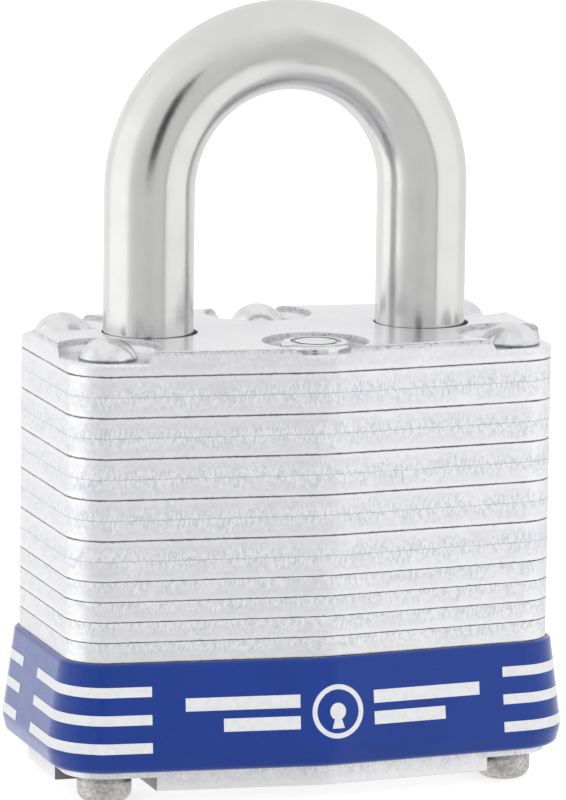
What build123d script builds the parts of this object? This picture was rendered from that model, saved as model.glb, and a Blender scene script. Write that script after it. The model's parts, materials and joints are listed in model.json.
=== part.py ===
from build123d import *
import os
from math import asin, atan2, cos, degrees, pi, sin

# Laminated steel padlock of the 40 mm class. 21 plates are stacked and riveted round a
# pin-tumbler cylinder and two locking levers. A vinyl bumper wraps the bottom of the stack.
#
# Frame: X runs across the lock from the toe leg (-) to the heel leg (+), Y from the front
# face (-) to the back face (+), Z up. The origin is under the middle of the body, at the
# level of the four rivet heads that it stands on. All sizes are in millimetres.
#
# The rest pose is closed and released: the shackle is down, and the plug has been turned
# so that its cam holds both levers out of the shackle's notches.

# --- Stack of plates ---------------------------------------------------------------------
body_width = 39.8
depth_at_ridge = 22.0       # each long face is two facets that meet in a soft ridge
depth_at_side = 18.2
corner_radius = 3.2
ridge_radius = 9.0
top_thickness = 1.95        # thickness of the top plate
lamination = 1.61           # thickness of the 19 plates under it
bottom_thickness = 2.2      # thickness of the bottom plate
plate_count = 21
die_roll = 0.10             # edge rounding that the press leaves on one side of a plate
top_edge = 0.3              # rounding of the top plate's upper edge
foot = 1.25                 # how far the lower rivet heads stand out under the bottom plate

# --- Rivets ------------------------------------------------------------------------------
corner_rivet_x = 16.6
corner_rivet_y = 6.4
corner_shank = 3.1
centre_rivet_y = 7.4
centre_shank = 2.5
shank_gap = 0.06
recess_radius = 4.0         # floor of the coined recess round each upper head
recess_slope = 20           # degrees that its wall leans outwards
top_recess = 0.95
front_recess = 0.6          # the one round the front centre rivet is shallower
recess_lip = 0.3            # rounding where a recess breaks out through the plate's edge
notch_depth = 1.1           # the bottom plate is stepped back round the lower heads, which
land_x = (-13.3, 14.1)      # leaves a cross that reaches the long faces between these two,
land_y = 3.9                # and the sides this far either side of the middle
upper_head = 4.6
upper_head_height = 1.7
lower_head = 4.3            # ball-shaped, with a small flat under it
lower_flat = 1.15
ball_radius = 1.0
centre_head = 4.4
front_head = 5.6            # front centre rivet: low and flat, with a ring pressed into it
front_ring = (1.6, 2.0)
tail_head = 3.6             # centre rivet's lower head, sunk into the plate above the cylinder
tail_head_height = 0.8

# --- Shackle -----------------------------------------------------------------------------
shackle_bar = 7.14
leg_x = 11.3                # leg hole centres, either side of the middle
leg_hole = 7.6
shackle_shift = -0.12       # the shackle leans on the toe side of its holes
clear_height = 18.9         # from the top plate to the inside of the crown
toe_depth = 9.7             # how far each leg reaches into the body
heel_depth = 18.8
shackle_lift = 10.4

# --- Locking levers ----------------------------------------------------------------------
lever_plates = (3, 4)       # the levers slide in a pocket in these two plates
lever_thickness = 3.0
lever_travel = 1.6
nose_width = 5.2
toe_nose = 7.55             # nose tips from the middle, with the levers withdrawn
heel_nose = 8.4
block_back = 5.6            # back of the block that carries the nose
arm_inner = 3.4
arm_outer = 4.9
hook_tip = 1.3
cam_long = 3.1              # half axes of the oval cam on the plug
cam_short = 1.5
cam_gap = 0.27              # the levers follow the turn evenly, the oval doesn't quite
pocket_x = 9.3              # leaves the blocks room for their whole travel
pocket_y = 5.05
window_y = 2.8

# --- Cylinder ----------------------------------------------------------------------------
housing_first = 8           # the housing fills the plates from this one down to number 20
housing_radius = 6.2
chamber_block = 6.1         # width of the pin block on the back of the housing
chamber_block_y = 8.9
housing_gap = 0.1
plug_radius = 4.7
plug_bore = 4.75
plug_head_radius = 5.2
plug_head = 0.75
plug_hole = 4.95            # in the bottom plate
cam_hole = 3.4              # in the plates between the housing and the levers
keyway_width = 1.5
keyway_length = 19.5
pin_bore = 1.1
pin_radius = 1.04
first_pin = 8.0
pin_pitch = 3.9
key_pin_lengths = (2.5, 3.3, 2.9, 3.6)
driver_length = 1.9
driver_start = 4.78
cap_thickness = 0.5
cap_width = 2.7

# --- Springs -----------------------------------------------------------------------------
shackle_wire = 0.6
shackle_coil = 5.4          # mean diameter
lever_wire = 0.25
lever_coil = 1.3
pin_wire = 0.2
pin_coil = 1.5

# --- Bumper ------------------------------------------------------------------------------
bumper_bottom = 2.9
bumper_widest = 4.4         # height of its widest line
bumper_top_wall = 0.4       # how far it stands out from the plates at the top,
bumper_wide_wall = 1.35     # at the widest line
bumper_low_wall = 1.0       # and at the bottom
bumper_swell_round = 2.0
bumper_low_round = 0.6
bumper_top_round = 0.35
bumper_gap = 0.04

# --- Heights that follow from the above --------------------------------------------------
regular_plates = plate_count - 2
bottom_face = foot
body_top = foot + bottom_thickness + regular_plates * lamination + top_thickness


def seam(number):
    """Height of the joint under plate `number`, counted from the top plate as 1."""
    return body_top - top_thickness - (number - 1) * lamination


lever_low = seam(lever_plates[1]) + 0.11
lever_high = lever_low + lever_thickness
pocket_low = seam(lever_plates[1])
pocket_high = seam(lever_plates[0] - 1)
housing_low = seam(20)
housing_top = seam(housing_first - 1)
toe_end = body_top - toe_depth
heel_end = body_top - heel_depth
crown_radius = leg_x
crown_centre = body_top + clear_height + shackle_bar / 2 - crown_radius
bumper_top = seam(15)
toe_x = -leg_x + shackle_shift
heel_x = leg_x + shackle_shift
corner_places = [(x, y) for x in (-corner_rivet_x, corner_rivet_x) for y in (-corner_rivet_y, corner_rivet_y)]
centre_places = [(0, -centre_rivet_y), (0, centre_rivet_y)]
pin_heights = [first_pin + i * pin_pitch for i in range(4)]


def write(piece, name):
    """Label the piece and write its STEP file."""
    piece.part.label = name
    export_step(piece.part, f"parts/{name}.step")


def block(x0, x1, y0, y1):
    """A rectangle between two X and two Y values, in the sketch that is open."""
    with Locations(((x0 + x1) / 2, (y0 + y1) / 2)):
        Rectangle(x1 - x0, y1 - y0)


def plate_outline(grow=0.0):
    """Plan of a plate: flat sides and two-facet faces, moved outwards by `grow`."""
    half = body_width / 2
    with BuildSketch() as plan:
        with BuildLine():
            Polyline(
                (-half, -depth_at_side / 2), (0, -depth_at_ridge / 2), (half, -depth_at_side / 2),
                (half, depth_at_side / 2), (0, depth_at_ridge / 2), (-half, depth_at_side / 2),
                close=True,
            )
        make_face()
        fillet(plan.vertices().filter_by(lambda v: abs(v.X) > half / 2), corner_radius)
        fillet(plan.vertices().filter_by(lambda v: abs(v.X) < 0.01), ridge_radius)
        if grow:
            offset(amount=grow)
    return plan.sketch


def punched(number):
    """What is punched out of plate `number`."""
    with BuildSketch() as holes:
        with Locations(*corner_places):
            Circle(corner_shank / 2 + shank_gap)
        if number < housing_first:
            with Locations(*centre_places):
                Circle(centre_shank / 2 + shank_gap)
        if seam(number) > toe_end - lamination:
            with Locations((-leg_x, 0)):
                Circle(leg_hole / 2)
        if number < 20:
            with Locations((leg_x, 0)):
                Circle(leg_hole / 2)
        if number in lever_plates:
            Rectangle(2 * pocket_x, 2 * pocket_y)
            Rectangle(2 * leg_x, 2 * window_y)
        if lever_plates[1] < number < housing_first:
            Circle(cam_hole)
        if housing_first <= number <= 20:
            Circle(housing_radius + housing_gap)
            half = chamber_block / 2 + housing_gap
            block(-half, half, 0, chamber_block_y + housing_gap)
        if number == plate_count:
            Circle(plug_hole)
    return holes.sketch


def rolls_down(number):
    """True where the rounded edge of plate `number` faces down: the press side is turned
    over from plate to plate, but the lot from 11 to 14 was stacked one way up."""
    return number % 2 == 1 or 11 <= number <= 14


def make_plate(number, low, thickness):
    """A plate with its die-rolled edge and its holes."""
    holes = punched(number)
    with BuildPart() as plate:
        with BuildSketch(Plane.XY.offset(low)):
            add(outline)
        extrude(amount=thickness)
        rolled = plate.edges().group_by(Axis.Z)[0 if rolls_down(number) else -1]
        fillet(rolled, die_roll)
        with BuildSketch(Plane.XY.offset(low)):
            add(holes)
        extrude(amount=thickness, mode=Mode.SUBTRACT)
    return plate


def coil(start, direction, length, mean_diameter, wire, turns):
    """A compression spring that runs `length` from `start` along a unit `direction`."""
    first = Vector(*start) + Vector(*direction) * (wire / 2)
    with BuildPart() as spring:
        with BuildLine() as path:
            Helix(
                pitch=(length - wire) / turns, height=length - wire, radius=mean_diameter / 2,
                center=first, direction=direction,
            )
        with BuildSketch(Plane(origin=path.line @ 0, z_dir=path.line % 0)):
            Circle(wire / 2)
        sweep(path=path.line)
    return spring


def dome_point(radius, height):
    """A point midway along a spherical cap of this base radius and height, from the base's centre."""
    sphere = (radius**2 + height**2) / (2 * height)
    half_angle = asin(radius / sphere) / 2
    return sphere * sin(half_angle), height - sphere * (1 - cos(half_angle))


def on_outline(edge):
    """True for an edge of a recess's floor that lies on the outline of the plate."""
    if edge.geom_type == GeomType.LINE:
        return True
    return min(abs(edge.radius - corner_radius), abs(edge.radius - ridge_radius)) < 0.01


os.makedirs("parts", exist_ok=True)
outline = plate_outline()

# --- Top plate: coined recesses round the four corner rivets and the two centre rivets ----
top = make_plate(1, seam(1), top_thickness)
with BuildPart() as top_plate:
    add(top.part)
    fillet(top_plate.faces().sort_by(Axis.Z)[-1].outer_wire().edges(), top_edge)
    for depth, places in ((top_recess, corner_places + centre_places[1:]), (front_recess, centre_places[:1])):
        with BuildSketch(Plane.XY.offset(body_top - depth)):
            with Locations(*places):
                Circle(recess_radius)
        extrude(amount=depth, taper=-recess_slope, mode=Mode.SUBTRACT)
        floors = top_plate.edges().filter_by(lambda e: abs(e.center().Z - (body_top - depth)) < 0.001)
        fillet(floors.filter_by(on_outline), recess_lip)
write(top_plate, "top_plate")

# --- Plates 2 to 20 ----------------------------------------------------------------------
for number in range(2, plate_count):
    solid = make_plate(number, seam(number), lamination)
    with BuildPart() as plate:
        add(solid.part)
        if number == housing_first - 1:
            with BuildSketch(Plane.XY.offset(seam(number))):
                with Locations(*centre_places):
                    Circle(tail_head / 2 + shank_gap)
            extrude(amount=tail_head_height + 0.02, mode=Mode.SUBTRACT)
    write(plate, f"lamination_{number:02d}")

# --- Bottom plate: notched underneath at its corners, with the hole for the plug's face -----
bottom = make_plate(plate_count, bottom_face, bottom_thickness)
with BuildPart() as bottom_plate:
    add(bottom.part)
    with BuildSketch(Plane.XY.offset(bottom_face)):
        Rectangle(2 * body_width, 2 * body_width)
        Rectangle(2 * body_width, 2 * land_y, mode=Mode.SUBTRACT)
        with Locations((sum(land_x) / 2, 0)):
            Rectangle(land_x[1] - land_x[0], 2 * body_width, mode=Mode.SUBTRACT)
    extrude(amount=notch_depth, mode=Mode.SUBTRACT)
write(bottom_plate, "bottom_plate")

# --- Corner rivets: shank through the whole stack, domed above and ball-headed below ------
upper_seat = body_top - top_recess
lower_seat = bottom_face + notch_depth
upper_rim = 0.25                                # straight edge under each dome
dome_x, dome_z = dome_point(upper_head / 2, upper_head_height - upper_rim)
with BuildPart() as rivet:
    with BuildSketch(Plane.XZ):
        with BuildLine():
            Line((0, 0), (lower_flat, 0))
            ThreePointArc(
                (lower_flat, 0), (lower_flat + ball_radius * sin(pi / 4), ball_radius * (1 - cos(pi / 4))),
                (lower_flat + ball_radius, ball_radius),
            )
            Polyline(
                (lower_flat + ball_radius, ball_radius), (lower_head / 2, lower_seat - 0.6),
                (lower_head / 2 - 0.3, lower_seat), (corner_shank / 2, lower_seat),
                (corner_shank / 2, upper_seat), (upper_head / 2, upper_seat),
                (upper_head / 2, upper_seat + upper_rim),
            )
            ThreePointArc(
                (upper_head / 2, upper_seat + upper_rim), (dome_x, upper_seat + upper_rim + dome_z),
                (0, upper_seat + upper_head_height),
            )
            Line((0, upper_seat + upper_head_height), (0, 0))
        make_face()
    revolve(axis=Axis.Z)
with BuildPart() as corner_rivets:
    with Locations(*corner_places):
        add(rivet.part)
write(corner_rivets, "corner_rivets")

# --- Centre rivets: they hold the lever pocket's plates, and end above the cylinder --------
tail_end = seam(housing_first - 1)
dome_x, dome_z = dome_point(centre_head / 2, upper_head_height - upper_rim)
with BuildPart() as domed_rivet:
    with BuildSketch(Plane.XZ):
        with BuildLine():
            Polyline(
                (0, tail_end), (tail_head / 2, tail_end), (tail_head / 2, tail_end + tail_head_height),
                (centre_shank / 2, tail_end + tail_head_height), (centre_shank / 2, upper_seat),
                (centre_head / 2, upper_seat), (centre_head / 2, upper_seat + upper_rim),
            )
            ThreePointArc(
                (centre_head / 2, upper_seat + upper_rim), (dome_x, upper_seat + upper_rim + dome_z),
                (0, upper_seat + upper_head_height),
            )
            Line((0, upper_seat + upper_head_height), (0, tail_end))
        make_face()
    revolve(axis=Axis.Z)
with BuildPart() as centre_rivet_back:
    with Locations((0, centre_rivet_y)):
        add(domed_rivet.part)
write(centre_rivet_back, "centre_rivet_back")

# the front one was closed from above
front_seat = body_top - front_recess
with BuildPart() as centre_rivet_front:
    with BuildSketch(Plane.XY.offset(tail_end)):
        with Locations((0, -centre_rivet_y)):
            Circle(tail_head / 2)
    extrude(amount=tail_head_height)
    with BuildSketch(Plane.XY.offset(tail_end)):
        with Locations((0, -centre_rivet_y)):
            Circle(centre_shank / 2)
    extrude(amount=front_seat - tail_end)
    with BuildSketch(Plane.XY.offset(front_seat)):
        with Locations((0, -centre_rivet_y)):
            Circle(front_head / 2)
    extrude(amount=front_recess)
    fillet(centre_rivet_front.edges().group_by(Axis.Z)[-1], 0.45)
    with BuildSketch(Plane.XY.offset(body_top - 0.2)):
        with Locations((0, -centre_rivet_y)):
            Circle(front_ring[1])
            Circle(front_ring[0], mode=Mode.SUBTRACT)
    extrude(amount=0.2, mode=Mode.SUBTRACT)
write(centre_rivet_front, "centre_rivet_front")

# --- Shackle -----------------------------------------------------------------------------
flange_top = lever_low - 0.3 - shackle_lift     # stops under the heel lever when lifted
neck_top = flange_top + lever_thickness + 0.5   # room for the lever while the shackle swivels
toe_notch_x = -leg_x + 1.85
heel_notch_x = leg_x - 1.0
heel_flat_x = heel_nose + 0.18
with BuildPart() as shackle:
    with BuildLine(Plane.XZ) as bend:
        Line((toe_x, toe_end), (toe_x, crown_centre))
        ThreePointArc((toe_x, crown_centre), (shackle_shift, crown_centre + crown_radius), (heel_x, crown_centre))
        Line((heel_x, crown_centre), (heel_x, heel_end))
    with BuildSketch(Plane.XY.offset(toe_end)):
        with Locations((toe_x, 0)):
            Circle(shackle_bar / 2)
    sweep(path=bend.line)
    feet = shackle.faces().filter_by(GeomType.PLANE).sort_by(Axis.X)
    chamfer(feet[0].edges(), 1.1)
    chamfer(feet[-1].edges(), 0.4)
    # toe notch
    with BuildSketch(Plane.XY.offset(pocket_low - 0.05)):
        block(toe_notch_x, -leg_x + shackle_bar, -shackle_bar, shackle_bar)
    extrude(amount=pocket_high - pocket_low + 0.1, mode=Mode.SUBTRACT)
    # heel notch, with the flat channel under it that the lever rides in while the shackle rises
    with BuildSketch(Plane.XY.offset(pocket_low - 0.05)):
        block(leg_x - shackle_bar, heel_notch_x, -shackle_bar, shackle_bar)
    extrude(amount=pocket_high - pocket_low + 0.1, mode=Mode.SUBTRACT)
    with BuildSketch(Plane.XY.offset(neck_top)):
        block(leg_x - shackle_bar, heel_flat_x, -shackle_bar, shackle_bar)
    extrude(amount=pocket_low - neck_top, mode=Mode.SUBTRACT)
    # neck, so that the raised shackle can swivel
    with BuildSketch(Plane.XY.offset(flange_top)):
        with Locations((heel_x, 0)):
            Circle(shackle_bar)
            Circle(heel_x - heel_flat_x, mode=Mode.SUBTRACT)
    extrude(amount=neck_top - flange_top, mode=Mode.SUBTRACT)
write(shackle, "shackle")

shackle_spring = coil((leg_x, 0, seam(19)), (0, 0, 1), heel_end - seam(19), shackle_coil, shackle_wire, 9.5)
write(shackle_spring, "shackle_spring")


# --- Locking levers: each has an arm past the cam and a hook behind it ---------------------
def make_lever(side, nose):
    """The lever whose nose points to `side` (-1 toe, +1 heel); the other is turned half round."""
    hook = cam_long + cam_gap
    with BuildPart() as lever:
        with BuildSketch(Plane.XY.offset(lever_low)):
            block(block_back, toe_nose, -arm_outer, nose_width / 2)
            block(block_back, nose, -nose_width / 2, nose_width / 2)
            block(-block_back + 0.4, toe_nose, -arm_outer, -arm_inner)
            block(-block_back + 0.4, -hook, -arm_outer, hook_tip)
        extrude(amount=lever_thickness)
        tip = lever.faces().filter_by(Axis.X).sort_by(Axis.X)[-1]
        chamfer(tip.edges().sort_by(Axis.Z)[-1], 0.5)
    with BuildPart() as placed:
        with Locations(Location((0, 0, 0), (0, 0, 0 if side > 0 else 180))):
            add(lever.part)
    return placed


write(make_lever(-1, toe_nose), "toe_lever")
write(make_lever(1, heel_nose), "heel_lever")

lever_middle = (lever_low + lever_high) / 2
spring_y = (arm_inner + arm_outer) / 2
spring_start = block_back - 0.4
spring_length = pocket_x - 0.15 - spring_start
toe_spring = coil((spring_start, spring_y, lever_middle), (1, 0, 0), spring_length, lever_coil, lever_wire, 5.5)
write(toe_spring, "toe_lever_spring")
heel_spring = coil((-spring_start, -spring_y, lever_middle), (-1, 0, 0), spring_length, lever_coil, lever_wire, 5.5)
write(heel_spring, "heel_lever_spring")

# --- Cylinder housing --------------------------------------------------------------------
housing_high = housing_top - 0.08
with BuildPart() as cylinder_housing:
    with BuildSketch(Plane.XY.offset(housing_low)):
        Circle(housing_radius)
        block(-chamber_block / 2, chamber_block / 2, 0, chamber_block_y)
        Circle(plug_bore, mode=Mode.SUBTRACT)
    extrude(amount=housing_high - housing_low)
    with BuildSketch(Plane.XY.offset(housing_low)):
        Circle(plug_head_radius + 0.1)
    extrude(amount=plug_head + 0.1, mode=Mode.SUBTRACT)
    for height in pin_heights:
        with BuildSketch(Plane.XZ.offset(-chamber_block_y)):
            with Locations((0, height)):
                Circle(pin_bore)
        extrude(amount=chamber_block_y - plug_bore + 1, mode=Mode.SUBTRACT)
    # slot for the strip that closes the chambers
    with BuildSketch(Plane.XZ.offset(-chamber_block_y)):
        block(-cap_width / 2, cap_width / 2, pin_heights[0] - 2, pin_heights[-1] + 2)
    extrude(amount=cap_thickness, mode=Mode.SUBTRACT)
write(cylinder_housing, "cylinder_housing")

with BuildPart() as chamber_cap:
    with BuildSketch(Plane.XZ.offset(-chamber_block_y)):
        block(-cap_width / 2 + 0.03, cap_width / 2 - 0.03, pin_heights[0] - 1.97, pin_heights[-1] + 1.97)
    extrude(amount=cap_thickness - 0.02)
write(chamber_cap, "chamber_cap")

# --- Plug: turned a quarter from its locked position, so its chambers point to -X ----------
plug_face = bottom_face + 0.2
with BuildPart() as plug:
    with BuildSketch(Plane.XY.offset(plug_face)):
        Circle(plug_radius)
    extrude(amount=housing_high - plug_face)
    with BuildSketch(Plane.XY.offset(housing_low + 0.05)):
        Circle(plug_head_radius)
    extrude(amount=plug_head)
    fillet(plug.faces().sort_by(Axis.Z)[0].edges(), 0.25)
    # oval cam between the levers' hooks
    with BuildSketch(Plane.XY.offset(housing_high)):
        Ellipse(cam_long, cam_short)
    extrude(amount=lever_high - 0.1 - housing_high)
    # keyway with two ward steps
    ward = keyway_width / 2
    with BuildSketch(Plane.XY.offset(plug_face)):
        with BuildLine():
            Polyline(
                (-2.6, -ward), (-0.9, -ward), (-0.6, -ward + 0.45), (0.7, -ward + 0.45), (1.0, -ward),
                (3.9, -ward), (3.9, ward - 0.55), (2.4, ward - 0.55), (2.1, ward), (-2.6, ward), close=True,
            )
        make_face()
    extrude(amount=keyway_length, mode=Mode.SUBTRACT)
    for height in pin_heights:
        with BuildSketch(Plane.YZ.offset(-plug_radius - 1)):
            with Locations((0, height)):
                Circle(pin_bore)
        extrude(amount=plug_radius + 1.5, mode=Mode.SUBTRACT)
write(plug, "plug")


# --- Pins and their springs ----------------------------------------------------------------
def make_key_pin(height, length):
    """A key pin in the plug, flat end at the shear line, tip towards the keyway."""
    with BuildPart() as pin:
        with BuildSketch(Plane.YZ.offset(-plug_radius + 0.12)):
            with Locations((0, height)):
                Circle(pin_radius)
        extrude(amount=length)
        chamfer(pin.faces().sort_by(Axis.X)[-1].edges(), 0.6)
    return pin


def make_driver_pin(height):
    """A driver pin in the housing, resting on the plug."""
    with BuildPart() as pin:
        with BuildSketch(Plane.XZ.offset(-driver_start)):
            with Locations((0, height)):
                Circle(pin_radius)
        extrude(amount=-driver_length)
        chamfer(pin.faces().sort_by(Axis.Y)[0].edges(), 0.1)
        chamfer(pin.faces().sort_by(Axis.Y)[-1].edges(), 0.1)
    return pin


driver_end = driver_start + driver_length
cap_inside = chamber_block_y - cap_thickness
for number, (height, length) in enumerate(zip(pin_heights, key_pin_lengths), start=1):
    write(make_key_pin(height, length), f"key_pin_{number}")
    write(make_driver_pin(height), f"driver_pin_{number}")
    pin_spring = coil((0, driver_end, height), (0, 1, 0), cap_inside - driver_end, pin_coil, pin_wire, 4)
    write(pin_spring, f"pin_spring_{number}")

# --- Bumper: a vinyl band whose wall swells towards its lower edge --------------------------
wide_outline = plate_outline(bumper_wide_wall)
inner_outline = plate_outline(bumper_gap)
upper_taper = degrees(atan2(bumper_wide_wall - bumper_top_wall, bumper_top - bumper_widest))
lower_taper = degrees(atan2(bumper_wide_wall - bumper_low_wall, bumper_widest - bumper_bottom))
with BuildPart() as bumper:
    with BuildSketch(Plane.XY.offset(bumper_widest)):
        add(wide_outline)
    extrude(amount=bumper_top - bumper_widest, taper=upper_taper)
    with BuildSketch(Plane.XY.offset(bumper_widest)):
        add(wide_outline)
    extrude(amount=-(bumper_widest - bumper_bottom), taper=lower_taper)
    fillet(bumper.edges().filter_by(lambda e: abs(e.center().Z - bumper_widest) < 0.01), bumper_swell_round)
    fillet(bumper.edges().group_by(Axis.Z)[0], bumper_low_round)
    fillet(bumper.edges().group_by(Axis.Z)[-1], bumper_top_round)
    with BuildSketch(Plane.XY.offset(bumper_bottom)):
        add(inner_outline)
    extrude(amount=bumper_top - bumper_bottom, mode=Mode.SUBTRACT)
write(bumper, "bumper")
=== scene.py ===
"""Looks for the laminated padlock: plated plates, chromed shackle, printed vinyl bumper."""
import json
from math import atan2, cos, pi, radians, sin

import bpy
from mathutils import Matrix, Vector

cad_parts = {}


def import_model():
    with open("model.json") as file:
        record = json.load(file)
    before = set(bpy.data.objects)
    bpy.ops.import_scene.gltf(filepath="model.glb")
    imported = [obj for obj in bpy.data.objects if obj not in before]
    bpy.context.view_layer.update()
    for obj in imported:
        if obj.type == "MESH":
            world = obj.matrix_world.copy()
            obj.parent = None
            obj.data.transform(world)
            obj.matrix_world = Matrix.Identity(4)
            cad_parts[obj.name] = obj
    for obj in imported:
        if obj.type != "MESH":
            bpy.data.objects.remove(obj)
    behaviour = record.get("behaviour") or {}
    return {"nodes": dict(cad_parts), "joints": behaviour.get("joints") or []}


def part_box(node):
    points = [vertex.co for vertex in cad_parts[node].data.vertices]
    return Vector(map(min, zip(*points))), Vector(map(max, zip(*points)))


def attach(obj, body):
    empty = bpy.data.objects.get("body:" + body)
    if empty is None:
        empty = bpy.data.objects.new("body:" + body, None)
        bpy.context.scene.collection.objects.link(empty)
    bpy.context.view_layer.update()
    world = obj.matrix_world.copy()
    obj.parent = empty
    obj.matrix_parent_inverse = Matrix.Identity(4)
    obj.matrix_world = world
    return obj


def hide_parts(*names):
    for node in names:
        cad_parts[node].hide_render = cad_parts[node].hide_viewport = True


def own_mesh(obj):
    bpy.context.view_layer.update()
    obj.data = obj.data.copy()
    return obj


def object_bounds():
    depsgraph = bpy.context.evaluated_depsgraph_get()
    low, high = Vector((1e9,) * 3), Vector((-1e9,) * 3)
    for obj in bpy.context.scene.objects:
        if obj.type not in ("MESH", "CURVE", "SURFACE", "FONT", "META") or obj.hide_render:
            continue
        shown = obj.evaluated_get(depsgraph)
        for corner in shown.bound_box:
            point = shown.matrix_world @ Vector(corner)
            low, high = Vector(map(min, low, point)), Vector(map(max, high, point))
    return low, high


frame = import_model()
cad_low, cad_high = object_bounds()

MM = 0.001
BODY_PLATES = ["top_plate"] + [f"lamination_{n:02d}" for n in range(2, 21)] + ["bottom_plate"]
BODY_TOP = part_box("top_plate")[1].z
BODY_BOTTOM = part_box("bottom_plate")[0].z
RECESS = 0.95 * MM              # depth of the pockets the upper rivet heads sit in
# How far the painted shade in a joint between plates reaches from it and how strong it is, by the
# kind of edge.
ROLLED_JOINT_SHADE = (0.12 * MM, 0.50)
TORN_JOINT_SHADE = (0.06 * MM, 0.34)
# Colour of the painted shade in the joints between plates.
JOINT_SHADE = (0.060, 0.058, 0.100)


# --- A small vocabulary for node materials --------------------------------------------------
class Paint:
    """A procedural material in the making. Every call adds a node and gives its output."""

    def __init__(self, name):
        self.made = bpy.data.materials.new(name)
        self.made.use_nodes = True
        self.tree = self.made.node_tree
        self.shader = self.tree.nodes["Principled BSDF"]
        place = self.add("ShaderNodeTexCoord")
        self.place = place.outputs["Object"]
        self.facing = place.outputs["Normal"]

    def add(self, kind, **settings):
        node = self.tree.nodes.new(kind)
        for key, value in settings.items():
            setattr(node, key, value)
        return node

    def feed(self, socket, value):
        """Link an output to the socket, or set a number or a colour on it."""
        if isinstance(value, bpy.types.NodeSocket):
            self.tree.links.new(value, socket)
        elif socket.type == "RGBA":
            socket.default_value = (*value, 1)
        else:
            socket.default_value = value

    def axes(self, vector):
        split = self.add("ShaderNodeSeparateXYZ")
        self.feed(split.inputs[0], vector)
        return split.outputs

    def math(self, operation, a, b=0.0):
        node = self.add("ShaderNodeMath", operation=operation)
        self.feed(node.inputs[0], a)
        self.feed(node.inputs[1], b)
        return node.outputs[0]

    def span(self, value, start, end, low=0.0, high=1.0):
        """`value` turned smoothly from `low` at `start` into `high` at `end`."""
        node = self.add("ShaderNodeMapRange", interpolation_type="SMOOTHSTEP")
        for socket, given in zip(node.inputs[:5], (value, start, end, low, high)):
            self.feed(socket, given)
        return node.outputs[0]

    def noise(self, size, detail=2.0, seed=0.0, stretch=(1, 1, 1), rough=0.5, warp=0.0):
        """Noise whose features are `size` metres wide, times `stretch` along each axis."""
        scaled = self.add("ShaderNodeMapping")
        self.feed(scaled.inputs["Vector"], self.place)
        scaled.inputs["Scale"].default_value = [1 / (size * times) for times in stretch]
        scaled.inputs["Location"].default_value = (seed * 3.7, seed * 1.3, seed * 2.1)
        node = self.add("ShaderNodeTexNoise")
        self.feed(node.inputs["Vector"], scaled.outputs[0])
        node.inputs["Scale"].default_value = 1.0
        node.inputs["Detail"].default_value = detail
        node.inputs["Roughness"].default_value = rough
        node.inputs["Distortion"].default_value = warp
        return node.outputs[0]

    def blend(self, factor, a, b):
        """Colour `a` where the factor is 0 and colour `b` where it is 1."""
        node = self.add("ShaderNodeMix", data_type="RGBA")
        self.feed(node.inputs[0], factor)
        self.feed(node.inputs[6], a)
        self.feed(node.inputs[7], b)
        return node.outputs[2]

    def relief(self, height, depth):
        """Bump of `depth` metres where `height` goes from 0 to 1, on top of earlier relief."""
        node = self.add("ShaderNodeBump")
        node.inputs["Strength"].default_value = 1.0
        node.inputs["Distance"].default_value = depth
        self.feed(node.inputs["Height"], height)
        before = self.shader.inputs["Normal"].links
        if before:
            self.feed(node.inputs["Normal"], before[0].from_socket)
        self.feed(self.shader.inputs["Normal"], node.outputs[0])

    def finish(self, colour, roughness, metallic=1.0, **constants):
        """Join colour and roughness to the shader, and set what is even all over."""
        self.feed(self.shader.inputs["Base Color"], colour)
        self.feed(self.shader.inputs["Roughness"], roughness)
        self.shader.inputs["Metallic"].default_value = metallic
        for name, value in constants.items():
            self.shader.inputs[name.replace("_", " ")].default_value = value
        return self.made


def dress(node, material):
    """Give a CAD node its material."""
    piece = frame["nodes"][node]
    for slot in piece.material_slots:
        slot.material = material


# --- Metals ---------------------------------------------------------------------------------
def rolls_down(number):
    """True where the rounded edge of plate `number` faces down."""
    return number % 2 == 1 or 11 <= number <= 14


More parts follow.
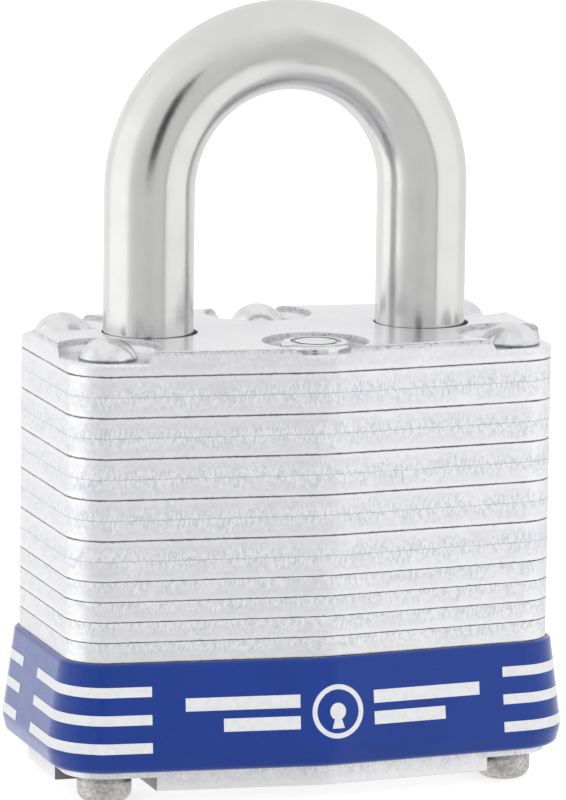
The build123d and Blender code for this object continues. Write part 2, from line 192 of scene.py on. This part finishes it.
def plated_plate(number, node):
    """Zinc-plated blanked steel: a burnished band by the rolled edge, torn streaks beyond it."""
    low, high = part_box(node)
    rolled, torn = (low.z, high.z) if rolls_down(number) else (high.z, low.z)
    p = Paint(f"plated_steel_{number:02d}")
    x, y, z = p.axes(p.place)
    # 1 on the plate's edge faces and 0 on its flats
    side = p.span(p.math("ABSOLUTE", p.axes(p.facing)[2]), 0.75, 0.35)
    # 0 at the rolled edge and 1 at the torn one
    share = p.math("DIVIDE", p.math("SUBTRACT", z, rolled), torn - rolled)

    cloud = p.noise(3.2 * MM, 3, seed=number)
    mottle = p.noise(0.42 * MM, 4, seed=number + 30, rough=0.65, warp=0.8)
    grain = p.noise(0.13 * MM, 2, seed=number + 60)
    streaks = p.noise(0.20 * MM, 3, seed=number + 90, stretch=(1, 1, 2.6), rough=0.66, warp=0.5)
    drift = p.noise(2.0 * MM, 4, seed=number + 120, rough=0.6)

    # the torn zone comes and goes along the edge; the top plate was shaved clean
    border = p.math("ADD", share, p.math("MULTIPLY", p.math("SUBTRACT", drift, 0.5), 1.8))
    torn_here = 0.25 if node == "top_plate" else 1.0
    fracture = p.math("MULTIPLY", p.math("MULTIPLY", p.span(border, 0.40, 0.75), side), torn_here)

    tone = p.blend(p.span(mottle, 0.32, 0.70), (0.61, 0.61, 0.625), (0.73, 0.73, 0.74))
    tone = p.blend(p.span(cloud, 0.38, 0.70, 0, 0.6), tone, (0.62, 0.62, 0.66))
    burnished = p.math("MULTIPLY", p.span(share, 0.34, 0.10, 0, 0.7), side)
    tone = p.blend(burnished, tone, (0.72, 0.72, 0.72))
    torn_tone = p.blend(p.span(streaks, 0.40, 0.58), (0.505, 0.515, 0.565), (0.75, 0.75, 0.762))
    tone = p.blend(p.math("MULTIPLY", fracture, 0.6), tone, torn_tone)
    tone = p.blend(p.span(grain, 0.62, 0.76, 0, 0.25), tone, (0.42, 0.425, 0.45))

    if node == "top_plate":
        # its upper lip is chipped and worn
        near_top = p.span(z, BODY_TOP - 0.55 * MM, BODY_TOP - 0.15 * MM)
        lip = p.math("MULTIPLY", near_top, p.span(side, 0.02, 0.3))
        chips = p.noise(0.30 * MM, 4, seed=210, rough=0.7)
        chipped = p.math("MULTIPLY", lip, p.span(chips, 0.52, 0.62, 0, 0.8))
        tone = p.blend(chipped, tone, (0.34, 0.35, 0.38))
        p.relief(p.math("MULTIPLY", lip, chips), 0.25 * MM)

    if node == "bottom_plate":
        # painted shade on the upright walls of the notches at its corners, which lie in shadow
        # under the bumper; these are the faces well inside the edge
        for place, axis, outside in ((x, 0, 16 * MM), (y, 1, 7 * MM)):
            notch = p.span(p.math("ABSOLUTE", place), outside, outside - 0.5 * MM)
            turned = p.span(p.math("ABSOLUTE", p.axes(p.facing)[axis]), 0.5, 0.8, 0, 0.85)
            tone = p.blend(p.math("MULTIPLY", notch, turned), tone, (0.10, 0.09, 0.09))

    # painted shade in the joint between two plates, where shade falls: heavy in the rolled edge, a
    # hair line at the other
    ragged = p.noise(0.28 * MM, 4, seed=number + 150, rough=0.75)
    patches = p.span(p.noise(1.6 * MM, 3, seed=number + 180), 0.36, 0.58, 0.45, 1.0)
    for edge, (reach, strength) in ((rolled, ROLLED_JOINT_SHADE), (torn, TORN_JOINT_SHADE)):
        if edge in (BODY_TOP, BODY_BOTTOM):
            continue
        away = p.math("ABSOLUTE", p.math("SUBTRACT", z, edge))
        ragged_away = p.math("ADD", away, p.math("MULTIPLY", p.math("SUBTRACT", ragged, 0.5), 3.0 * reach))
        # painted shade, ragged and patchy along the joint
        joint_shade = p.math("MULTIPLY", p.span(ragged_away, reach, 0.35 * reach, 0, strength), patches)
        tone = p.blend(joint_shade, tone, JOINT_SHADE)

    gloss = p.span(side, 0, 1, 0.20, 0.33)
    gloss = p.math("ADD", gloss, p.span(mottle, 0.25, 0.75, -0.04, 0.06))
    gloss = p.math("ADD", gloss, p.math("MULTIPLY", fracture, 0.10))
    p.relief(p.math("MULTIPLY", cloud, p.span(side, 0, 1, 0.2, 1.0)), 0.05 * MM)
    p.relief(p.math("MULTIPLY", mottle, p.span(side, 0, 1, 0.25, 1.0)), 0.016 * MM)
    p.relief(p.math("MULTIPLY", streaks, fracture), 0.05 * MM)
    return p.finish(tone, gloss, metallic=0.75)


def rivet_steel():
    """Plated rivets: bright hammered domes above, dull cast-looking balls underneath."""
    p = Paint("rivet_steel_plated")
    z = p.axes(p.place)[2]
    # 1 on the lower heads and 0 on the upper ones
    below = p.span(z, 6 * MM, 4 * MM)
    blotch = p.noise(1.3 * MM, 2, seed=5)
    pits = p.noise(0.28 * MM, 3, seed=8, rough=0.6)
    bright = p.blend(p.span(blotch, 0.4, 0.68), (0.72, 0.72, 0.725), (0.62, 0.625, 0.64))
    # painted shadow: a dark line where an upper head meets the floor of its pocket
    seat = p.math("ABSOLUTE", p.math("SUBTRACT", z, BODY_TOP - RECESS))
    bright = p.blend(p.span(seat, 0.22 * MM, 0.05 * MM, 0, 0.85), bright, (0.10, 0.10, 0.13))
    dull = p.blend(p.span(pits, 0.36, 0.68), (0.38, 0.37, 0.365), (0.56, 0.55, 0.54))
    gloss = p.math("ADD", p.span(blotch, 0.35, 0.7, 0.18, 0.28), p.math("MULTIPLY", below, 0.22))
    p.relief(blotch, 0.05 * MM)
    p.relief(p.math("MULTIPLY", pits, p.span(below, 0, 1, 0.2, 1)), 0.03 * MM)
    return p.finish(p.blend(below, bright, dull), gloss)


def chrome():
    """Chrome over hardened steel, with faint polishing marks round the bar."""
    p = Paint("shackle_chrome_plate")
    haze = p.noise(3.5 * MM, 3, seed=2)
    marks = p.noise(0.09 * MM, 2, seed=4, stretch=(14, 14, 1))
    specks = p.noise(0.22 * MM, 2, seed=6)
    tone = p.blend(p.span(haze, 0.35, 0.7), (0.645, 0.643, 0.638), (0.615, 0.615, 0.61))
    tone = p.blend(p.span(specks, 0.66, 0.78, 0, 0.35), tone, (0.5, 0.5, 0.5))
    gloss = p.math("ADD", p.span(haze, 0.3, 0.75, 0.15, 0.21), p.math("MULTIPLY", marks, 0.05))
    p.relief(marks, 0.0015 * MM)
    p.relief(p.noise(1.6 * MM, 2, seed=9), 0.012 * MM)
    return p.finish(tone, gloss)


def turned_metal(name, light, dark, roughness, stretch):
    """Machined metal: fine tool marks, drawn out by `stretch`, under clouds of tarnish."""
    p = Paint(name)
    rings = p.noise(0.07 * MM, 2, seed=3, stretch=stretch)
    tarnish = p.noise(1.7 * MM, 4, seed=7, rough=0.6)
    tone = p.blend(p.span(tarnish, 0.35, 0.7), light, dark)
    tone = p.blend(p.math("MULTIPLY", p.span(rings, 0.5, 0.8), 0.35), tone, dark)
    gloss = p.span(tarnish, 0.3, 0.75, roughness, roughness + 0.14)
    p.relief(rings, 0.003 * MM)
    p.relief(tarnish, 0.012 * MM)
    return p.finish(tone, gloss)


# Light tone, dark tone, roughness, and how far the tool marks are drawn out along each axis.
TURNED_METALS = {
    "housing_brass_sawn": ((0.80, 0.60, 0.30), (0.62, 0.44, 0.20), 0.30, (14, 14, 1)),
    "plug_brass_turned": ((0.86, 0.67, 0.36), (0.70, 0.50, 0.24), 0.22, (14, 14, 1)),
    "spring_wire_drawn": ((0.55, 0.55, 0.56), (0.34, 0.33, 0.33), 0.28, (1, 1, 1)),
    "lever_steel_ground": ((0.66, 0.66, 0.67), (0.45, 0.44, 0.43), 0.30, (1, 10, 1)),
    "pin_brass_turned": ((0.84, 0.64, 0.33), (0.66, 0.46, 0.22), 0.24, (1, 14, 14)),
    "pin_steel_turned": ((0.68, 0.68, 0.69), (0.48, 0.47, 0.47), 0.24, (14, 1, 14)),
}
# Part of a node's name, and the metal of such nodes.
INNER_METALS = (
    ("spring", "spring_wire_drawn"),
    ("_lever", "lever_steel_ground"),
    ("key_pin", "pin_brass_turned"),
    ("driver_pin", "pin_steel_turned"),
    ("cylinder_housing", "housing_brass_sawn"),
    ("chamber_cap", "housing_brass_sawn"),
    ("plug", "plug_brass_turned"),
)


# --- Objects --------------------------------------------------------------------------------
def place_object(name, data):
    """A new object in the scene with the given data."""
    made = bpy.data.objects.new(name, data)
    bpy.context.scene.collection.objects.link(made)
    return made


def mesh_object(name, points, faces, material):
    """A new object with a mesh of one material."""
    mesh = bpy.data.meshes.new(name)
    mesh.from_pydata(points, [], faces)
    mesh.materials.append(material)
    return place_object(name, mesh)


# --- Pin springs ----------------------------------------------------------------------------
def shortening_springs():
    """A copy of each pin spring, fixed to the body, in place of the hidden CAD spring."""
    for joint in frame["joints"]:
        for spring in joint.get("deforming_nodes", []):
            node = spring["node"]
            if not node.startswith("pin_spring"):
                continue
            coil = place_object(f"{node}_coil", frame["nodes"][node].data.copy())
            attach(coil, "body")
            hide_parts(node)
            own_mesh(coil)


# --- Vinyl and its print --------------------------------------------------------------------
def vinyl():
    """Glossy blue vinyl with a little orange peel."""
    p = Paint("blue_vinyl_gloss")
    cloud = p.noise(6 * MM, 2, seed=1)
    peel = p.noise(0.8 * MM, 2, seed=11)
    tone = p.blend(p.span(cloud, 0.3, 0.7), (0.001, 0.022, 0.170), (0.002, 0.026, 0.187))
    p.relief(peel, 0.003 * MM)
    p.relief(p.noise(5 * MM, 1, seed=14), 0.03 * MM)
    gloss = p.span(peel, 0.3, 0.7, 0.26, 0.33)
    return p.finish(
        tone, gloss, metallic=0.0, IOR=1.5, Specular_IOR_Level=0.22,
        Coat_Weight=0.7, Coat_IOR=1.2, Coat_Roughness=0.12,
        Sheen_Weight=0.35, Sheen_Roughness=0.35, Sheen_Tint=(0.72, 0.79, 1.0, 1.0),
    )


def print_ink():
    """White pad-printed ink, slightly uneven in cover."""
    p = Paint("print_white")
    cover = p.noise(0.5 * MM, 3, seed=17)
    tone = p.blend(p.span(cover, 0.3, 0.7), (0.49, 0.495, 0.505), (0.53, 0.535, 0.545))
    p.relief(cover, 0.004 * MM)
    return p.finish(tone, p.span(cover, 0.3, 0.7, 0.34, 0.46), metallic=0.0, IOR=1.5)


# --- The bumper's printed marks -------------------------------------------------------------
PRINT_LIFT = 0.02 * MM
PLATE_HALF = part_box("lamination_10")[1].x
RIDGE_DEPTH = 11.0 * MM         # where the two facets of a long face would meet
FACET_RISE = 1.9 * MM           # how much nearer the middle plane they are at the sides
CORNER = 3.2 * MM
WALL = 1.0 * MM                 # the print starts this far out and is then laid on the band
FACET_TURN = atan2(FACET_RISE, PLATE_HALF)


def printed_piece(name, rows, material, closed=False, lift=PRINT_LIFT):
    """A grid of points as a thin printed layer that lies `lift` above the bumper."""
    across = len(rows[0])
    points = [point for row in rows for point in row]
    faces = []
    for i in range(len(rows) - (0 if closed else 1)):
        here, there = i * across, (i + 1) % len(rows) * across
        for k in range(across - 1):
            faces.append((here + k, there + k, there + k + 1, here + k + 1))
    piece = mesh_object(name, points, faces, material)
    piece.data.shade_smooth()
    laid = piece.modifiers.new("laid", "SHRINKWRAP")
    laid.target = frame["nodes"]["bumper"]
    laid.wrap_method = "NEAREST_SURFACEPOINT"
    laid.wrap_mode = "OUTSIDE_SURFACE"
    laid.offset = lift
    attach(piece, "body")


def facet_y(x):
    """Front of the plates at `x`, before the ridge is rounded."""
    return -RIDGE_DEPTH + FACET_RISE * abs(x) / PLATE_HALF


def corner_path(side_y, face_x):
    """Plan points from the side face at `side_y` round the front right corner to `face_x`."""
    steps = 14
    reach = CORNER + WALL
    centre_x = PLATE_HALF - CORNER
    centre_y = facet_y(centre_x) + CORNER / cos(FACET_TURN)
    points = []
    for i in range(steps):
        points.append(Vector((PLATE_HALF + WALL, side_y + (centre_y - side_y) * i / steps, 0)))
    for i in range(steps + 1):
        turn = (pi / 2 - FACET_TURN) * i / steps
        points.append(Vector((centre_x + reach * cos(turn), centre_y - reach * sin(turn), 0)))
    last = points[-1]
    end = Vector((face_x, facet_y(face_x) - WALL / cos(FACET_TURN), 0))
    points += [last.lerp(end, i / steps) for i in range(1, steps + 1)]
    return points


def stripe(name, path, low, high, material):
    """One printed line along a plan path."""
    rows = [[Vector((q.x, q.y, low + (high - low) * k / 4)) for k in range(5)] for q in path]
    printed_piece(name, rows, material)


# Lower and upper edge of each of the three lines, in mm.
STRIPES = ((8.99, 9.79), (6.78, 7.58), (4.57, 5.37))
# Corner name, X side, Y side, end on the side face, end on the long face (both in mm).
STRIPE_GROUPS = (
    ("front_left", -1, -1, -1.1, 14.0),
    ("front_right", 1, -1, -0.6, 15.05),
    ("back_left", -1, 1, -2.9, 14.0),
    ("back_right", 1, 1, -2.4, 15.05),
)


def printed_stripes(ink):
    """Three lines round each corner of the bumper."""
    for name, x_side, y_side, side_end, face_end in STRIPE_GROUPS:
        corner = corner_path(side_end * MM, face_end * MM)
        path = [Vector((q.x * x_side, -q.y * y_side, 0)) for q in corner]
        for number, (low, high) in enumerate(STRIPES, start=1):
            stripe(f"stripe_{name}_{number}", path, low * MM, high * MM, ink)


# The emblem's middle, and the half height of the bars beside it.
EMBLEM_X, EMBLEM_Z = 0.82 * MM, 7.35 * MM
BAR_HALF = 0.52 * MM
# Height and outer end of the bars on each side of the ring, from its middle, in mm.
EMBLEM_BARS = ((0.95, 12.2), (-0.75, 9.2))


def face_point(x, z, back):
    """A point just off the bumper's front or back."""
    y = facet_y(x) - WALL - 0.3 * MM
    return Vector((x, -y if back else y, z))


def ring(name, inner, outer, ink, back, sides=48):
    """A flat ring round the emblem's middle."""
    rows = []
    for i in range(sides):
        turn = 2 * pi * i / sides
        rows.append([
            face_point(EMBLEM_X + radius * cos(turn), EMBLEM_Z + radius * sin(turn), back)
            for radius in (inner, (inner + outer) / 2, outer)
        ])
    printed_piece(name, rows, ink, closed=True)


def taper(name, start, end, ink, back, upright=False, lift=PRINT_LIFT):
    """A flat bar from `start` to `end`, which each give x, z and the half width there."""
    steps = 24
    rows = []
    for i in range(steps + 1):
        x, z, half = (a + (b - a) * (i / steps) for a, b in zip(start, end))
        shifts = (-half, -half / 2, 0, half / 2, half)
        if upright:
            rows.append([face_point(x + shift, z, back) for shift in shifts])
        else:
            rows.append([face_point(x, z + shift, back) for shift in shifts])
    printed_piece(name, rows, ink, lift=lift)


def emblem(side_name, back, ink):
    """A plain keyhole in a ring, between two pairs of bars."""
    ring(f"emblem_ring_{side_name}", 1.75 * MM, 2.15 * MM, ink, back)
    ring(f"emblem_keyhole_{side_name}", 0.02 * MM, 0.68 * MM, ink, back)
    # the slot overlaps the keyhole's disc, so it lies a little higher
    taper(
        f"emblem_slot_{side_name}",
        (EMBLEM_X, EMBLEM_Z - 0.35 * MM, 0.22 * MM),
        (EMBLEM_X, EMBLEM_Z - 1.35 * MM, 0.52 * MM),
        ink, back, upright=True, lift=1.5 * PRINT_LIFT,
    )
    for hand, word in ((-1, "left"), (1, "right")):
        for rank, (height, reach) in enumerate(EMBLEM_BARS, start=1):
            z = EMBLEM_Z + height * MM
            taper(
                f"emblem_bar_{word}_{rank}_{side_name}",
                (EMBLEM_X + hand * 3.1 * MM, z, BAR_HALF),
                (EMBLEM_X + hand * reach * MM, z, BAR_HALF),
                ink, back,
            )


# --- Dress every CAD node -------------------------------------------------------------------
for number, node in enumerate(BODY_PLATES, start=1):
    dress(node, plated_plate(number, node))
rivets = rivet_steel()
for node in ("corner_rivets", "centre_rivet_front", "centre_rivet_back"):
    dress(node, rivets)
dress("shackle", chrome())
dress("bumper", vinyl())
# the first match in INNER_METALS counts, so a lever's spring gets the springs' wire
turned = {name: turned_metal(name, *settings) for name, settings in TURNED_METALS.items()}
for node in frame["nodes"]:
    metal = next((turned[name] for part, name in INNER_METALS if part in node), None)
    if metal:
        dress(node, metal)

shortening_springs()

ink = print_ink()
printed_stripes(ink)
emblem("front", False, ink)
emblem("back", True, ink)


# --- Studio ---------------------------------------------------------------------------------
MIDDLE = (cad_low + cad_high) / 2

# What the metal mirrors all round the object: angle from -Y towards +X in degrees, brightness.
# White softbox on the left, grey behind the camera, a paler one on the right with a dark frame.
WALL_STOPS = (
    (-180, 0.96), (-172, 1.12), (-138, 1.14), (-130, 1.43), (-78, 1.43), (-66, 0.93),
    (-50, 0.83), (14, 0.83), (20, 0.76), (21, 0.48), (24, 0.48), (25, 1.22),
    (88, 1.22), (96, 1.08), (130, 0.98), (180, 0.96),
)
# Height of each ring of the wall in metres, and how much of the stops' pattern is left there.
WALL_RINGS = ((-0.60, 1.0), (0.10, 1.0), (0.40, 0.4), (0.85, 0.0))
WALL_MEAN = 1.08
WALL_DISTANCE = 0.6
# The camera's dark reflection: distance, lower and upper edge in metres, and each edge's angles.
CARD_DISTANCE = 0.45
CARD_LOW, CARD_HIGH = 0.005, 0.24
CARD_LOW_ANGLES, CARD_HIGH_ANGLES = (-29, -10), (-12, -27)
# Name, place, size in metres, power in watts.
LAMPS = (
    ("top_soft", (0.05, 0.1, 0.75), (0.7, 0.7), 2.6),
    ("left_soft", (-0.6, -0.2, 0.35), (0.5, 0.6), 2.0),
    ("right_soft", (0.55, -0.45, 0.3), (0.5, 0.6), 2.0),
)
# The camera as fitted to the plates' edges, in metres and in the object's frame.
CAMERA_PLACE = Vector((-0.15078, -0.45846, 0.11155))
CAMERA_FORWARD = Vector((0.30856, 0.93667, -0.16566))
CAMERA_UP = Vector((0.03879, 0.16163, 0.98609))
CAMERA_LENS = 277.5
CAMERA_SHIFT = (-0.0065, -0.0062)
FLOOR_HALF = 3.0


def emitter(name, strength):
    """A material that glows evenly white."""
    made = bpy.data.materials.new(name)
    made.use_nodes = True
    nodes, links = made.node_tree.nodes, made.node_tree.links
    nodes.remove(nodes["Principled BSDF"])
    glow = nodes.new("ShaderNodeEmission")
    glow.inputs["Color"].default_value = (1, 1, 1, 1)
    glow.inputs["Strength"].default_value = strength
    links.new(glow.outputs[0], nodes["Material Output"].inputs["Surface"])
    return made


def stage_mesh(name, points, faces, material):
    """A stage object that shows in reflections only."""
    card = mesh_object(name, points, faces, material)
    card.visible_camera = False
    card.visible_diffuse = False
    card.visible_shadow = False
    card.visible_transmission = False
    return card


def around(angle, distance, height):
    """The point at that angle in degrees, distance and height from the object's middle."""
    turn = radians(angle)
    return (MIDDLE.x + distance * sin(turn), MIDDLE.y - distance * cos(turn), MIDDLE.z + height)


def reflection_wall():
    """A round wall whose glow follows WALL_STOPS and evens out towards its top."""
    points, brightness, faces = [], [], []
    for angle, level in WALL_STOPS:
        for height, share in WALL_RINGS:
            points.append(around(angle, WALL_DISTANCE, height))
            brightness.append(WALL_MEAN + (level - WALL_MEAN) * share)
    rings = len(WALL_RINGS)
    for i in range(len(WALL_STOPS) - 1):
        for k in range(rings - 1):
            corner = rings * i + k
            faces.append((corner, corner + rings, corner + rings + 1, corner + 1))
    made = emitter("wall_glow", 1.0)
    wall = stage_mesh("reflection_wall", points, faces, made)
    glow = wall.data.attributes.new("glow", "FLOAT", "POINT")
    glow.data.foreach_set("value", brightness)
    nodes, links = made.node_tree.nodes, made.node_tree.links
    read = nodes.new("ShaderNodeAttribute")
    read.attribute_name = "glow"
    links.new(read.outputs["Fac"], nodes["Emission"].inputs["Strength"])


def dark_camera_card():
    """What the photographer's camera shows as in the bends of the shackle."""
    points = [around(angle, CARD_DISTANCE, CARD_LOW) for angle in CARD_LOW_ANGLES]
    points += [around(angle, CARD_DISTANCE, CARD_HIGH) for angle in CARD_HIGH_ANGLES]
    stage_mesh("camera_reflection", points, [(0, 1, 2, 3)], emitter("camera_dark", 0.02))


def floor_material():
    """Pale, nearly even paper that lifts its own shadows a little."""
    p = Paint("floor_white")
    cloud = p.noise(0.05, 2)
    tone = p.blend(cloud, (0.34, 0.34, 0.34), (0.36, 0.36, 0.36))
    return p.finish(tone, 0.8, metallic=0.0, Emission_Color=(1, 1, 1, 1), Emission_Strength=0.72)


def floor():
    """A square floor under the object that metal doesn't mirror."""
    signs = ((-1, -1), (1, -1), (1, 1), (-1, 1))
    points = [(FLOOR_HALF * a, FLOOR_HALF * b, cad_low.z) for a, b in signs]
    plane = mesh_object("floor", points, [(0, 1, 2, 3)], floor_material())
    plane.visible_glossy = False


def area_light(name, place, size, power):
    """A soft lamp turned to the object's middle that metal doesn't mirror."""
    data = bpy.data.lights.new(name, "AREA")
    data.shape = "RECTANGLE"
    data.size, data.size_y = size
    data.energy = power
    lamp = place_object(name, data)
    lamp.location = place
    lamp.rotation_mode = "QUATERNION"
    lamp.rotation_quaternion = (MIDDLE - Vector(place)).to_track_quat("-Z", "Y")
    lamp.visible_glossy = False


def world(strength_seen, strength_light):
    """Even white all round, with one strength to look at and another to light by."""
    made = bpy.data.worlds.new("studio")
    bpy.context.scene.world = made
    made.use_nodes = True
    nodes, links = made.node_tree.nodes, made.node_tree.links
    glow = nodes["Background"]
    glow.inputs["Color"].default_value = (1, 1, 1, 1)
    seen = nodes.new("ShaderNodeLightPath").outputs["Is Camera Ray"]
    level = nodes.new("ShaderNodeMapRange")
    links.new(seen, level.inputs["Value"])
    level.inputs["To Min"].default_value = strength_light
    level.inputs["To Max"].default_value = strength_seen
    links.new(level.outputs[0], glow.inputs["Strength"])


def camera():
    """The fitted camera: 18 degrees to the left of the front, 9.5 degrees above."""
    data = bpy.data.cameras.new("camera")
    data.sensor_width = 36
    data.lens = CAMERA_LENS
    data.shift_x, data.shift_y = CAMERA_SHIFT
    data.clip_start, data.clip_end = 0.01, 20
    forward = CAMERA_FORWARD.normalized()
    right = forward.cross(CAMERA_UP).normalized()
    up = right.cross(forward)
    made = place_object("camera", data)
    turn = Matrix((right, up, -forward)).transposed()
    made.matrix_world = Matrix.Translation(CAMERA_PLACE) @ turn.to_4x4()
    bpy.context.scene.camera = made


bpy.context.scene.view_settings.view_transform = "Standard"
world(strength_seen=1.15, strength_light=1.08)
floor()
for lamp in LAMPS:
    area_light(*lamp)
reflection_wall()
dark_camera_card()
camera()
